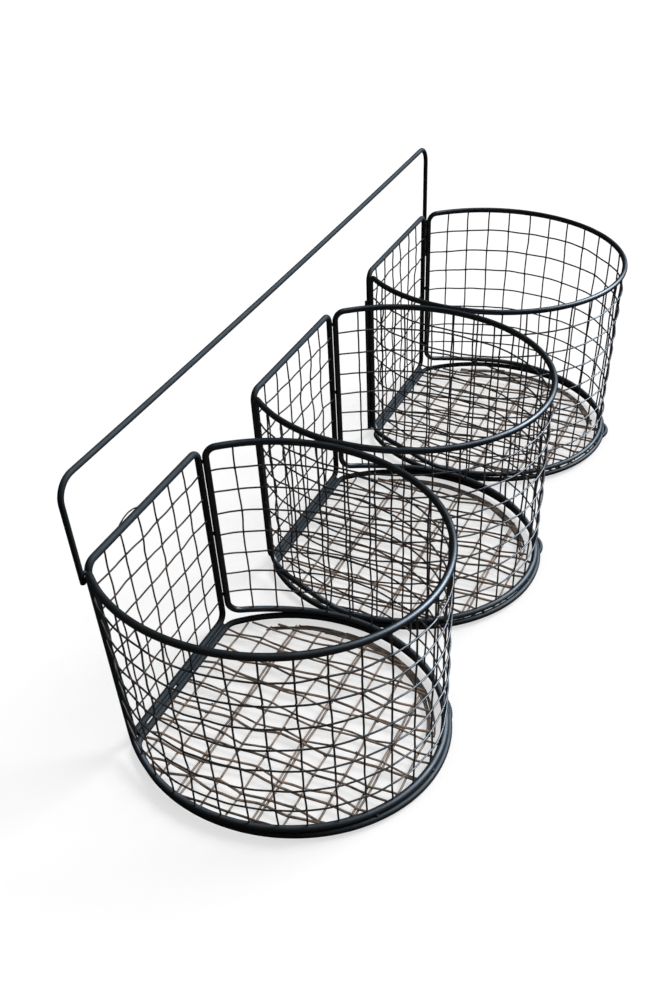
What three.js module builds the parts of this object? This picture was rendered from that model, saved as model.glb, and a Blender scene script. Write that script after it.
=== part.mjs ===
// Three D-shaped wire baskets welded side by side, with one hanger bail along the wall side.
// Millimetres, +Z up, X along the row, the wall towards +Y, the rounded fronts towards -Y.
import * as THREE from "three";

// The basket's wall in plan: a flat back and an oval front that bulges past the back's corners.
const BASKET_NAMES = ["left", "middle", "right"];
const WALL_HALF_WIDTH = 96;
const WALL_HALF_DEPTH = 107;
const BACK_HALF_WIDTH = 61;
const WALL_HEIGHT = 150; // middle of the base ring's wire to middle of the rim's wire

// Wire sizes. The thick wires are six-sided, so their radius is taken to the corners.
const FRAME_WIRE_RADIUS = 2.6;
const BAIL_WIRE_RADIUS = 2.1;
const MESH_HALF_WIDTH = 0.9;
const MESH_HALF_DEPTH = 0.8;
const WELD_GAP = 0.3; // left between pieces that are welded to each other
const WIRE_SIDES = 6;
const CORNER_STEPS = 4;
const FRONT_STEPS = 22; // straight lengths that make up the bent front wires

// Panel frames: one wire loop with rounded corners round each sheet of mesh.
const TOP_CORNER_RADIUS = 7;
const BACK_FOOT_CORNER_RADIUS = 7;
const FRONT_FOOT_CORNER_RADIUS = 9;
const BACK_FOOT_RISE = 4.7; // the back panel's foot wire above the base ring's wire
const POST_SPACING = 5.6; // back panel's post to front panel's post, along the wall
const HEEL_LIFT = 6; // the front panel's foot wire rises off the ring towards its posts
const HEEL_LENGTH = 60;

// Base ring: the same oval, set a little forward of the wall that stands on it.
const RING_FORWARD = 3.5;
const RING_BACK_Y = -2.2;
const RING_CORNER_TRIM = 5;
const RING_CORNER_STEPS = 3;

// Mesh cells, and the base's mesh counted from the ring's straight back.
const MESH_ROWS = 8;
const BACK_COLUMNS = 7;
const FRONT_COLUMNS = 27;
const BASE_PITCH = 19;
const BASE_COLUMN_WIRES = 9;
const BASE_ROW_WIRES = 9;
const BASE_FIRST_ROW = 11.5;

// Hanger bail: a wide U of thinner wire in the grooves of the two outer back corners.
const BAIL_RISE = 57; // above the rim
const BAIL_BEND_RADIUS = 13;
const BAIL_LEFT_FOOT = 10; // how far each leg runs down below the rim
const BAIL_RIGHT_FOOT = 38;

// A spare length of wire along the outside of the last basket's left post.
const STUB_BELOW_RIM = 22;
const STUB_ABOVE_RING = 8;

// Places worked out from the sizes above.
const FRAME_FLAT = FRAME_WIRE_RADIUS * Math.cos(Math.PI / WIRE_SIDES);
const RING_Z = FRAME_FLAT;
const RIM_Z = RING_Z + WALL_HEIGHT;
const FRONT_FOOT_Z = RING_Z + 2 * FRAME_FLAT + WELD_GAP;
const BACK_FOOT_Z = RING_Z + BACK_FOOT_RISE;
const BASKET_PITCH = 2 * (WALL_HALF_WIDTH + FRAME_WIRE_RADIUS) + WELD_GAP;
const BACK_ANGLE = Math.acos(BACK_HALF_WIDTH / WALL_HALF_WIDTH);
const WALL_CENTRE_Y = -WALL_HALF_DEPTH * Math.sin(BACK_ANGLE);
const EDGES_TO_NORMAL = 0;
const FLATS_TO_NORMAL = Math.PI / WIRE_SIDES;
const UP = new THREE.Vector3(0, 0, 1);
const TO_WALL = new THREE.Vector3(0, 1, 0);

// The wall's oval from the left back corner, round the front, to the right back corner.
const wallOval = new THREE.EllipseCurve(
  0,
  WALL_CENTRE_Y,
  WALL_HALF_WIDTH,
  WALL_HALF_DEPTH,
  Math.PI - BACK_ANGLE,
  2 * Math.PI + BACK_ANGLE,
);
wallOval.arcLengthDivisions = 1000;
const WALL_LENGTH = wallOval.getLength();
const FRONT_START = POST_SPACING;
const FRONT_END = WALL_LENGTH - POST_SPACING;

const blackWire = new THREE.MeshStandardMaterial({ color: 0x1c1e21, roughness: 0.42, metalness: 0.55 });
const blackMesh = new THREE.MeshStandardMaterial({ color: 0x24221f, roughness: 0.5, metalness: 0.5 });
const bareMesh = new THREE.MeshStandardMaterial({ color: 0x5a4d42, roughness: 0.55, metalness: 0.6 });

// A point of the front panel: along the wall, up, and out from it.
function onFront(along, height, out) {
  const share = along / WALL_LENGTH;
  const spot = wallOval.getPointAt(share);
  const heading = wallOval.getTangentAt(share);
  return new THREE.Vector3(spot.x + heading.y * out, spot.y - heading.x * out, height);
}

// A point of the back panel, whose normal looks into the basket.
function onBack(along, height, out) {
  return new THREE.Vector3(along, -out, height);
}

// A point of the base, whose normal looks up.
function onBase(x, y, out) {
  return new THREE.Vector3(x, y, RING_Z + out);
}

// The foot wire's rise towards the nearer post of the front panel.
function heelLift(along) {
  const fromPost = Math.min(along - FRONT_START, FRONT_END - along);
  const share = Math.max(0, 1 - fromPost / HEEL_LENGTH);
  return HEEL_LIFT * share * share;
}

// Faces between two loops of corners that turn the same way.
function skin(faces, from, to) {
  from.forEach((corner, i) => {
    const next = (i + 1) % from.length;
    faces.push(corner, from[next], to[next], corner, to[next], to[i]);
  });
}

// A flat end on a loop of corners, facing the way the loop turns about.
function cap(faces, loop) {
  for (let i = 1; i < loop.length - 1; i += 1) {
    faces.push(loop[0], loop[i], loop[i + 1]);
  }
}

function solid(faces) {
  const geometry = new THREE.BufferGeometry().setFromPoints(faces);
  geometry.computeVertexNormals();
  return geometry;
}

// A six-sided wire along a line of points, closed into a loop or with two flat ends.
function wireGeometry(points, normals, radius, firstCorner, closed) {
  const last = points.length - 1;
  const step = (i, j) => new THREE.Vector3().subVectors(points[j], points[i]).normalize();
  const rings = points.map((point, i) => {
    const heading = new THREE.Vector3();
    if (closed || i > 0) heading.add(step(i === 0 ? last : i - 1, i));
    if (closed || i < last) heading.add(step(i, i === last ? 0 : i + 1));
    const across = new THREE.Vector3().crossVectors(heading.normalize(), normals[i]).normalize();
    const normal = new THREE.Vector3().crossVectors(across, heading);
    return Array.from({ length: WIRE_SIDES }, (_, k) => {
      const turn = firstCorner + (2 * Math.PI * k) / WIRE_SIDES;
      const corner = point.clone().addScaledVector(normal, radius * Math.cos(turn));
      return corner.addScaledVector(across, radius * Math.sin(turn));
    });
  });
  const faces = [];
  for (let i = 0; i < last; i += 1) skin(faces, rings[i], rings[i + 1]);
  if (closed) {
    skin(faces, rings[last], rings[0]);
  } else {
    cap(faces, [...rings[0]].reverse());
    cap(faces, rings[last]);
  }
  return solid(faces);
}

// A sheet of welded mesh. Each crossing is one four-cornered knot, and the wires run from knot to
// knot: a column wire is flat in front and ridged behind, a row wire the other way round.
function meshGeometry(columns, rows, columnEnds, rowEnds, place) {
  const knotAt = (u, v) => {
    const [low, high] = columnEnds(u);
    const [left, right] = rowEnds(v);
    if (v < low || v > high || u < left || u > right) return null;
    return {
      left: place(u - MESH_HALF_WIDTH, v, MESH_HALF_DEPTH),
      right: place(u + MESH_HALF_WIDTH, v, MESH_HALF_DEPTH),
      low: place(u, v - MESH_HALF_WIDTH, -MESH_HALF_DEPTH),
      high: place(u, v + MESH_HALF_WIDTH, -MESH_HALF_DEPTH),
    };
  };
  const knots = columns.map((u) => rows.map((v) => knotAt(u, v)));
  const faces = [];
  const strand = (start, through, end) => {
    cap(faces, [...start].reverse());
    let behind = start;
    through.forEach(([near, far]) => {
      skin(faces, behind, near);
      behind = far;
    });
    skin(faces, behind, end);
    cap(faces, end);
  };
  columns.forEach((u, i) => {
    const section = (v) => [
      place(u - MESH_HALF_WIDTH, v, MESH_HALF_DEPTH),
      place(u + MESH_HALF_WIDTH, v, MESH_HALF_DEPTH),
      place(u, v, -MESH_HALF_DEPTH),
    ];
    const through = knots[i].filter(Boolean).map((knot) => [
      [knot.left, knot.right, knot.low],
      [knot.left, knot.right, knot.high],
    ]);
    const [low, high] = columnEnds(u);
    strand(section(low), through, section(high));
  });
  rows.forEach((v, j) => {
    const section = (u) => [
      place(u, v, MESH_HALF_DEPTH),
      place(u, v - MESH_HALF_WIDTH, -MESH_HALF_DEPTH),
      place(u, v + MESH_HALF_WIDTH, -MESH_HALF_DEPTH),
    ];
    const through = knots.map((column) => column[j]).filter(Boolean).map((knot) => [
      [knot.left, knot.low, knot.high],
      [knot.right, knot.low, knot.high],
    ]);
    const [left, right] = rowEnds(v);
    strand(section(left), through, section(right));
  });
  return solid(faces);
}

// Wires that divide a span into equal cells, without the two at its ends.
function inner(start, end, cells) {
  return Array.from({ length: cells - 1 }, (_, i) => start + ((end - start) * (i + 1)) / cells);
}

// A rectangle with rounded corners, from the middle of its foot and round to the right.
function frameOutline(left, right, foot, top, footRadius, steps) {
  const corner = (u, v, radius, from) => Array.from({ length: CORNER_STEPS + 1 }, (_, k) => {
    const turn = from + (Math.PI / 2) * (k / CORNER_STEPS);
    return [u + radius * Math.cos(turn), v + radius * Math.sin(turn)];
  });
  const footEdge = inner(left + footRadius, right - footRadius, steps);
  const topEdge = inner(right - TOP_CORNER_RADIUS, left + TOP_CORNER_RADIUS, steps);
  return [
    ...footEdge.map((u) => [u, foot]),
    ...corner(right - footRadius, foot + footRadius, footRadius, -Math.PI / 2),
    ...corner(right - TOP_CORNER_RADIUS, top - TOP_CORNER_RADIUS, TOP_CORNER_RADIUS, 0),
    ...topEdge.map((u) => [u, top]),
    ...corner(left + TOP_CORNER_RADIUS, top - TOP_CORNER_RADIUS, TOP_CORNER_RADIUS, Math.PI / 2),
    ...corner(left + footRadius, foot + footRadius, footRadius, Math.PI),
  ];
}

function backFrame() {
  const outline = frameOutline(
    -BACK_HALF_WIDTH, BACK_HALF_WIDTH, BACK_FOOT_Z, RIM_Z, BACK_FOOT_CORNER_RADIUS, 1,
  );
  const points = outline.map(([along, height]) => onBack(along, height, 0));
  const normals = points.map(() => TO_WALL);
  return wireGeometry(points, normals, FRAME_WIRE_RADIUS, FLATS_TO_NORMAL, true);
}

function backMesh() {
  const clear = FRAME_WIRE_RADIUS + WELD_GAP;
  return meshGeometry(
    inner(-BACK_HALF_WIDTH, BACK_HALF_WIDTH, BACK_COLUMNS),
    inner(BACK_FOOT_Z, RIM_Z, MESH_ROWS),
    () => [BACK_FOOT_Z + clear, RIM_Z - clear],
    () => [clear - BACK_HALF_WIDTH, BACK_HALF_WIDTH - clear],
    onBack,
  );
}

function frontFrame() {
  const outline = frameOutline(
    FRONT_START, FRONT_END, FRONT_FOOT_Z, RIM_Z, FRONT_FOOT_CORNER_RADIUS, FRONT_STEPS,
  );
  const lifted = ([along, height]) => {
    const toRim = (RIM_Z - height) / (RIM_Z - FRONT_FOOT_Z);
    return [along, height + heelLift(along) * toRim];
  };
  const stations = outline.map(lifted);
  const points = stations.map(([along, height]) => onFront(along, height, 0));
  const normals = stations.map(([along, height], i) => onFront(along, height, 1).sub(points[i]));
  return wireGeometry(points, normals, FRAME_WIRE_RADIUS, EDGES_TO_NORMAL, true);
}

function frontMesh() {
  const clear = FRAME_FLAT + WELD_GAP;
  const footClear = FRAME_WIRE_RADIUS + WELD_GAP;
  return meshGeometry(
    inner(FRONT_START, FRONT_END, FRONT_COLUMNS),
    inner(FRONT_FOOT_Z, RIM_Z, MESH_ROWS),
    (along) => [FRONT_FOOT_Z + heelLift(along) + footClear, RIM_Z - clear],
    () => [FRONT_START + clear, FRONT_END - clear],
    onFront,
  );
}

// The ring's plan: the oval, then a short bend, the straight back and the other bend.
function baseRing() {
  const backAngle = Math.asin((RING_BACK_Y + RING_FORWARD - WALL_CENTRE_Y) / WALL_HALF_DEPTH);
  const cornerX = WALL_HALF_WIDTH * Math.cos(backAngle);
  const oval = new THREE.EllipseCurve(
    0,
    WALL_CENTRE_Y - RING_FORWARD,
    WALL_HALF_WIDTH,
    WALL_HALF_DEPTH,
    Math.PI - backAngle,
    2 * Math.PI + backAngle,
  );
  const trim = RING_CORNER_TRIM / oval.getLength();
  const round = Array.from({ length: FRONT_STEPS + 1 }, (_, i) => (
    oval.getPointAt(trim + (1 - 2 * trim) * (i / FRONT_STEPS))
  ));
  const rightCorner = new THREE.Vector2(cornerX, RING_BACK_Y);
  const leftCorner = new THREE.Vector2(-cornerX, RING_BACK_Y);
  const rightEnd = new THREE.Vector2(cornerX - RING_CORNER_TRIM, RING_BACK_Y);
  const leftEnd = new THREE.Vector2(RING_CORNER_TRIM - cornerX, RING_BACK_Y);
  const rightBend = new THREE.QuadraticBezierCurve(round.at(-1), rightCorner, rightEnd);
  const leftBend = new THREE.QuadraticBezierCurve(leftEnd, leftCorner, round[0]);
  const plan = [
    ...round,
    ...rightBend.getPoints(RING_CORNER_STEPS).slice(1),
    ...leftBend.getPoints(RING_CORNER_STEPS).slice(0, -1),
  ];
  const points = plan.map((spot) => onBase(spot.x, spot.y, 0));
  const normals = points.map(() => UP);
  return wireGeometry(points, normals, FRAME_WIRE_RADIUS, FLATS_TO_NORMAL, true);
}

function baseMesh() {
  const clear = FRAME_WIRE_RADIUS + WELD_GAP + MESH_HALF_WIDTH;
  const halfWidth = WALL_HALF_WIDTH - clear;
  const halfDepth = WALL_HALF_DEPTH - clear;
  const centreY = WALL_CENTRE_Y - RING_FORWARD;
  const backY = RING_BACK_Y - clear;
  const columns = Array.from({ length: BASE_COLUMN_WIRES }, (_, i) => (
    (i - (BASE_COLUMN_WIRES - 1) / 2) * BASE_PITCH
  ));
  const rows = Array.from({ length: BASE_ROW_WIRES }, (_, i) => (
    backY - BASE_FIRST_ROW - (BASE_ROW_WIRES - 1 - i) * BASE_PITCH
  ));
  const columnEnds = (x) => {
    const reach = halfDepth * Math.sqrt(1 - (x / halfWidth) ** 2);
    return [centreY - reach, Math.min(centreY + reach, backY)];
  };
  const rowEnds = (y) => {
    const reach = halfWidth * Math.sqrt(1 - ((y - centreY) / halfDepth) ** 2);
    return [-reach, reach];
  };
  return meshGeometry(columns, rows, columnEnds, rowEnds, onBase);
}

// The groove outside a back corner, where a thinner wire lies against both posts. side is -1 or 1.
function grooveSpot(side, wireRadius) {
  const post = onFront(side < 0 ? FRONT_START : FRONT_END, 0, 0);
  const backPost = new THREE.Vector3(side * BACK_HALF_WIDTH, 0, 0);
  const apart = post.distanceTo(backPost);
  const reach = FRAME_WIRE_RADIUS + wireRadius + WELD_GAP;
  const out = Math.sqrt(reach ** 2 - (apart / 2) ** 2);
  const along = new THREE.Vector3().subVectors(post, backPost).normalize();
  const outward = new THREE.Vector3(-along.y * side, along.x * side, 0);
  return backPost.clone().lerp(post, 1 / 2).addScaledVector(outward, out);
}

// The bail's line from its left foot, up, along and down to its right foot.
function hangerBail() {
  const groove = grooveSpot(1, BAIL_WIRE_RADIUS);
  const halfSpan = BASKET_PITCH + groove.x;
  const top = RIM_Z + BAIL_RISE;
  const bend = (side, from) => Array.from({ length: CORNER_STEPS + 1 }, (_, k) => {
    const turn = from - (Math.PI / 2) * (k / CORNER_STEPS);
    const x = side * (halfSpan - BAIL_BEND_RADIUS) + BAIL_BEND_RADIUS * Math.cos(turn);
    return new THREE.Vector3(x, groove.y, top - BAIL_BEND_RADIUS * (1 - Math.sin(turn)));
  });
  const points = [
    new THREE.Vector3(-halfSpan, groove.y, RIM_Z - BAIL_LEFT_FOOT),
    ...bend(-1, Math.PI),
    ...bend(1, Math.PI / 2),
    new THREE.Vector3(halfSpan, groove.y, RIM_Z - BAIL_RIGHT_FOOT),
  ];
  const normals = points.map(() => TO_WALL);
  return wireGeometry(points, normals, BAIL_WIRE_RADIUS, EDGES_TO_NORMAL, false);
}

function postStub() {
  const groove = grooveSpot(-1, BAIL_WIRE_RADIUS);
  const points = [
    groove.clone().setZ(RING_Z + STUB_ABOVE_RING),
    groove.clone().setZ(RIM_Z - STUB_BELOW_RIM),
  ];
  const normals = points.map(() => TO_WALL);
  return wireGeometry(points, normals, BAIL_WIRE_RADIUS, EDGES_TO_NORMAL, false);
}

function piece(name, geometry, material) {
  const mesh = new THREE.Mesh(geometry, material);
  mesh.name = name;
  return mesh;
}

function basket(name) {
  const group = new THREE.Group();
  group.add(
    piece(`${name}_back_panel_frame`, backFrame(), blackWire),
    piece(`${name}_back_panel_mesh`, backMesh(), blackMesh),
    piece(`${name}_front_panel_frame`, frontFrame(), blackWire),
    piece(`${name}_front_panel_mesh`, frontMesh(), blackMesh),
    piece(`${name}_base_ring`, baseRing(), blackWire),
    piece(`${name}_base_mesh`, baseMesh(), bareMesh),
  );
  return group;
}

const rack = new THREE.Group();
BASKET_NAMES.forEach((name, i) => {
  const one = basket(name);
  one.position.x = (i - (BASKET_NAMES.length - 1) / 2) * BASKET_PITCH;
  if (i === BASKET_NAMES.length - 1) one.add(piece("right_post_stub", postStub(), blackWire));
  rack.add(one);
});
rack.add(piece("hanger_bail", hangerBail(), blackWire));

// The row's origin is on the floor, midway along the row and midway between front and wall side.
const footprint = new THREE.Box3().setFromObject(rack);
rack.children.forEach((child) => {
  child.position.y -= (footprint.min.y + footprint.max.y) / 2;
});

export default rack;
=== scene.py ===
"""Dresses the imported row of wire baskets: round wires, welded mesh, welds, finishes and a stage."""

import bisect
import math
import random
from collections import namedtuple

import bpy
from mathutils import Matrix, Vector


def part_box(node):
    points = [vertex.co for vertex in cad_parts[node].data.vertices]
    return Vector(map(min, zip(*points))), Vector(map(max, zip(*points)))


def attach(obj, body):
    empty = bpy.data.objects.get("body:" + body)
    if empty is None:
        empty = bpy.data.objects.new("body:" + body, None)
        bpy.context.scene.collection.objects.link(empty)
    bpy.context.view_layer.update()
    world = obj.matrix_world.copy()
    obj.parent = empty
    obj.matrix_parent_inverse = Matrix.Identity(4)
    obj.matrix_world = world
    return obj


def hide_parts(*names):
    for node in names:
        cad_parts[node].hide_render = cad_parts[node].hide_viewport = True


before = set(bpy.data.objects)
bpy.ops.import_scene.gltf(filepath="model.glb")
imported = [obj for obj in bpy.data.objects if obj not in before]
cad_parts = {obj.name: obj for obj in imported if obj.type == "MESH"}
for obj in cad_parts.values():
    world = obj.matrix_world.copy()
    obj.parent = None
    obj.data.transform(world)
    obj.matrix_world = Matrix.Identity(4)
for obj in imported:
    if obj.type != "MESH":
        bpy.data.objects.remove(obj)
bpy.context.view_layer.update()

bl_info = {
    "name": "Wire basket rack",
    "version": (1, 0, 0),
    "blender": (4, 5, 0),
    "location": "View3D > Sidebar > Basket Rack",
    "description": "Builds a row of D-shaped welded wire baskets with a hanger bail",
    "category": "Add Mesh",
}

BASKETS = ("left", "middle", "right")
MM = 0.001
STEP, MESH_STEP = 4 * MM, 3 * MM  # between the points of thick and of mesh wires
WHITE = (1.0, 1.0, 1.0, 1.0)

# A wire is a run of points that may close, with marks: girth scales its thickness, strand gives it
# a wander of its own, stray scales that wander, and tone darkens its steel. A weld is a line of one
# point whose weld mark scales its width.
Line = namedtuple(
    "Line", "run closed girth strand stray tone weld", defaults=(False, 1.0, 0.0, 1.0, 1.0, 0.0))
MARKS = Line._fields[2:]
WELD_WIDTHS = {
    "post": 0.8, "rim": 0.62, "foot": 0.8, "lump": 1.25, "ring": 0.75, "bail": 0.85, "base": 0.9}

# Where each base ring's weld to the back panel runs, as shares of its straight back.
SEAMS = {
    "left": ((0.0, 0.09), (0.16, 0.37), (0.43, 1.0)),
    "middle": ((0.0, 1.0),),
    "right": ((0.0, 1.0),),
}
SEAM_GIRTH, SEAM_STEP = 0.66, 0.03
# Where each base ring was welded shut, as a share of its oval, and how far that lump stands out.
CLOSED_AT = {"left": (0.593, 1.3 * MM), "middle": (0.575, 2.7 * MM), "right": (0.535, 2.9 * MM)}
# Share of the frame wire's thickness in each basket: far wires are finer in the photograph.
FINER = {"left": 1.03, "middle": 0.97, "right": 0.9}

# How much more each wall mesh strays on its slack side, that side's length from the left post,
# and the back mesh's share of the slack.
LOOSE = {"left": 0.8, "middle": 2.2, "right": 2.2}
SLACK_LENGTH, BACK_SLACK = 0.11, 0.33
BACK_MESH_GIRTH = 0.92  # share of the front mesh wire's thickness
WANDER_LENGTHS = {"back": 0.024, "front": 0.028, "base": 0.028}
WALL_SEED, BASE_SEED, DRAW_SEED = 11, 31, 51  # the left basket's; each next basket adds one

# The base's wires: their heights, how far doubled rows and paired columns (in mm) lie from their
# middle, and where the sheet ends: at a hem in its free quarter, and near the ring elsewhere.
ROW_Z, COLUMN_Z, HEM_AND_SHADOW_Z = 0.9 * MM, 1.9 * MM, 1.4 * MM
# The paired columns stand in partly for the columns' shadows on the floor: painted shadow.
DOUBLED, PARTED = 1.2 * MM, (0.7, 1.6, 3.0, 4.6)
# The hem's dark turns stand in partly for the ring's shadow on the floor inside it: painted shadow.
HEM_AND_SHADOW_FROM, BARE_EDGE, HEM_AND_SHADOW_TURNS = 0.02, 1.5 * MM, 14
STRANDS = 9  # range of the wander that each loose wire draws

# Dust dulls the wires over these ranges: towards the wall, and above the floor by a share.
WALL_DUST, FLOOR_DUST, FLOOR_DUST_SHARE = (0.078, 0.092), (0.010, 0.016), 0.45
BUMP_DEPTH = 0.1 * MM


def linear(hex_colour):
    """An sRGB hex colour as linear red, green and blue."""
    parts = [int(hex_colour[i:i + 2], 16) / 255 for i in (0, 2, 4)]
    return tuple(c / 12.92 if c <= 0.04045 else ((c + 0.055) / 1.055) ** 2.4 for c in parts)


def metres(name, default, description):
    """A size in metres that shows in the panel."""
    return bpy.props.FloatProperty(
        name=name, description=description, default=default, min=0.0,
        precision=5, subtype="DISTANCE", unit="LENGTH",
    )


def tally(name, default, description):
    """A count that shows in the panel."""
    return bpy.props.IntProperty(name=name, description=description, default=default, min=2)


def tint(name, hex_colour, description):
    """A colour that shows in the panel."""
    return bpy.props.FloatVectorProperty(
        name=name, description=description, default=linear(hex_colour),
        min=0.0, max=1.0, size=3, subtype="COLOR",
    )


class BasketSizes(bpy.types.PropertyGroup):
    """Sizes of one basket and of the bail; their places come from the CAD model's boxes."""

    half_width: metres("Half width", 0.096, "Half of the oval wall's width")
    half_depth: metres("Half depth", 0.107, "Half of the oval wall's depth")
    back_half_width: metres("Back half width", 0.061, "Half of the flat back's width")
    top_corner: metres("Top corner", 0.007, "Bend of a panel frame's top corners")
    back_foot_corner: metres("Back foot corner", 0.007, "Bend at the back panel's feet")
    front_foot_corner: metres("Front foot corner", 0.009, "Bend at the front panel's feet")
    post_spacing: metres("Post spacing", 0.0050, "Back panel's post to front panel's post")
    heel_lift: metres("Heel lift", 0.006, "Rise of the front foot wire at its posts")
    heel_length: metres("Heel length", 0.06, "Length of foot wire that rises")
    foot_spring: metres("Foot spring", 0.0065, "Bow of a sprung foot wire by its left post")
    spring_length: metres("Spring length", 0.09, "Length of foot wire that bows up")
    ring_forward: metres("Ring forward", 0.0026, "How far the ring's oval stands forward")
    foot_rise: metres("Foot rise", 0.0046, "The front foot wire, above the ring's wire")
    ring_inset: metres("Ring inset", 0.0034, "The ring's straight back, in from the panel")
    ring_trim: metres("Ring corner", 0.005, "Length of oval in the ring's corner bend")
    base_pitch: metres("Base pitch", 0.018, "Spacing of base wires out from the wall")
    base_row_pitch: metres("Base row pitch", 0.018, "Spacing of base wires along the row")
    base_first: metres("Base first wire", 0.0112, "First base wire, from the ring's back")
    # The hem's inset also places the painted shadow band that its dark turns stand in for.
    hem: metres("Base hem", 0.0085, "The base sheet's hem, in from the ring")
    base_skew: bpy.props.FloatProperty(
        name="Base skew", description="How far the base sheet is turned in its ring",
        default=math.radians(-0.5), subtype="ANGLE")
    bail_bend: metres("Bail bend", 0.013, "Bend radius of the hanger bail")
    bail_left_foot: metres("Bail left foot", 0.010, "The bail's left leg, below the rim")
    bail_sag: metres("Bail sag", 0.0018, "Sag of the bail's long wire")
    rows: tally("Rows", 8, "Mesh cells from foot to rim")
    front_columns: tally("Front columns", 27, "Mesh cells round the front")
    back_columns: tally("Back columns", 7, "Mesh cells across the back")
    base_wires: tally("Base wires", 11, "Pairs of base wires out from the wall")
    base_rows: tally("Base rows", 11, "Base wires along the row")


class WireSizes(bpy.types.PropertyGroup):
    """Thicknesses of the wires, and how far they stray from true."""

    frame_wire: metres("Frame wire", 0.0045, "Thickness of the frames' and rings' wire")
    bail_wire: metres("Bail wire", 0.0036, "Thickness of the hanger bail's wire")
    wall_wire: metres("Wall mesh wire", 0.00125, "Thickness of the wall mesh's wire")
    base_wire: metres("Base mesh wire", 0.0015, "Thickness of the base mesh's wire")
    knot: metres("Weld knot", 0.0020, "Width of a weld in the mesh")
    weld: metres("Weld bead", 0.0036, "Width of a weld on thick wires")
    wander: metres("Wander", 0.0016, "How far a wall mesh wire strays")
    base_wander: metres("Base wander", 0.0030, "How far a base mesh wire strays")


class FinishColours(bpy.types.PropertyGroup):
    """Colours of the finishes and the floor."""

    coat: tint("Frame coat", "060707", "Powder coat on the thick wires")
    coat_worn: tint("Frame coat, rubbed", "0d0f11", "The coat where rubbed or dusty")
    mesh: tint("Wall mesh", "1a1410", "Coat on the wall mesh")
    mesh_worn: tint("Wall mesh, thin coat", "4e3b2d", "Steel showing through the coat")
    base: tint("Base mesh", "a58f7e", "Brown-grey steel of the base mesh")
    base_dark: tint("Base mesh, dark", "3a2e24", "Darker scale on the base mesh")
    floor: tint("Floor", "a8a8a8", "Plain pale floor")


def add_node(tree, kind, inputs=(), **settings):
    """Adds a node with its settings, sets or links its inputs in order or by name, where a list is
    linked to one input, and gives its outputs."""
    node = tree.nodes.new(kind)
    for key, value in settings.items():
        setattr(node, key, value)
    for key, value in inputs.items() if isinstance(inputs, dict) else enumerate(inputs):
        for part in value if isinstance(value, list) else [value]:
            if isinstance(part, bpy.types.NodeSocket):
                tree.links.new(part, node.inputs[key])
            else:
                node.inputs[key].default_value = part
    return node.outputs


def new_tree(name, inputs):
    """An empty Geometry Nodes tree with named inputs; gives the tree and its input sockets."""
    tree = bpy.data.node_groups.new(name, "GeometryNodeTree")
    for label, kind in {"Geometry": "NodeSocketGeometry", **inputs}.items():
        tree.interface.new_socket(label, in_out="INPUT", socket_type=kind)
    tree.interface.new_socket("Geometry", in_out="OUTPUT", socket_type="NodeSocketGeometry")
    return tree, add_node(tree, "NodeGroupInput")


def wander_offset(tree, given):
    """Nodes that move a wire a little off its line, alike for all wires that meet at a place."""
    place = add_node(tree, "GeometryNodeInputPosition")[0]
    strand, stray = (
        add_node(tree, "GeometryNodeInputNamedAttribute", {"Name": label}, data_type="FLOAT")[0]
        for label in ("strand", "stray"))
    seed = add_node(tree, "ShaderNodeMath", (given["Seed"], strand), operation="ADD")[0]
    scale = add_node(tree, "ShaderNodeMath", (1.0, given["Wander Length"]), operation="DIVIDE")[0]
    noise = add_node(
        tree, "ShaderNodeTexNoise", {"Vector": place, "W": seed, "Scale": scale, "Detail": 1.5},
        noise_dimensions="4D")["Color"]
    centred = add_node(
        tree, "ShaderNodeVectorMath", (noise, (0.5, 0.5, 0.5)), operation="SUBTRACT")[0]
    twice = add_node(tree, "ShaderNodeMath", (stray, 2.0), operation="MULTIPLY")[0]
    reach = add_node(
        tree, "ShaderNodeVectorMath", {0: given["Wander"], "Scale": twice}, operation="SCALE")[0]
    return add_node(tree, "ShaderNodeVectorMath", (centred, reach), operation="MULTIPLY")[0]


def finish_tree(tree, given, lines, points, size, girth=1.0, inside=True):
    """Lets lines and points wander, rounds the lines, puts a weld at each point, realizes it all
    and sets the material."""
    offset = wander_offset(tree, given)
    lines, points = (
        add_node(tree, "GeometryNodeSetPosition", {"Geometry": part, "Offset": offset})[0]
        for part in (lines, points))
    wire_radius, knot_radius = (
        add_node(tree, "ShaderNodeMath", (given[label], 0.5), operation="MULTIPLY")[0]
        for label in ("Thickness", "Knot"))
    circle = add_node(
        tree, "GeometryNodeCurvePrimitiveCircle",
        {"Resolution": given["Sides"], "Radius": wire_radius})[0]
    tube = add_node(
        tree, "GeometryNodeCurveToMesh",
        {"Curve": lines, "Profile Curve": circle, "Scale": girth, "Fill Caps": True})[0]
    ball = add_node(
        tree, "GeometryNodeMeshIcoSphere",
        {"Radius": knot_radius, "Subdivisions": given["Knot Detail"]})[0]
    welds = add_node(
        tree, "GeometryNodeInstanceOnPoints",
        {"Points": points, "Selection": inside, "Instance": ball, "Scale": size})[0]
    whole = add_node(tree, "GeometryNodeJoinGeometry", ([tube, welds],))[0]
    smooth = add_node(tree, "GeometryNodeSetShadeSmooth", {"Geometry": whole})[0]
    real = add_node(tree, "GeometryNodeRealizeInstances", {"Geometry": smooth})[0]
    painted = add_node(
        tree, "GeometryNodeSetMaterial", {"Geometry": real, "Material": given["Material"]})[0]
    add_node(tree, "NodeGroupOutput", (painted,))
    return tree


WIRE_INPUTS = {
    "Thickness": "NodeSocketFloat", "Sides": "NodeSocketInt",
    "Wander": "NodeSocketVector", "Wander Length": "NodeSocketFloat",
    "Knot": "NodeSocketFloat", "Knot Detail": "NodeSocketInt",
    "Seed": "NodeSocketInt", "Material": "NodeSocketMaterial",
}


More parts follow.
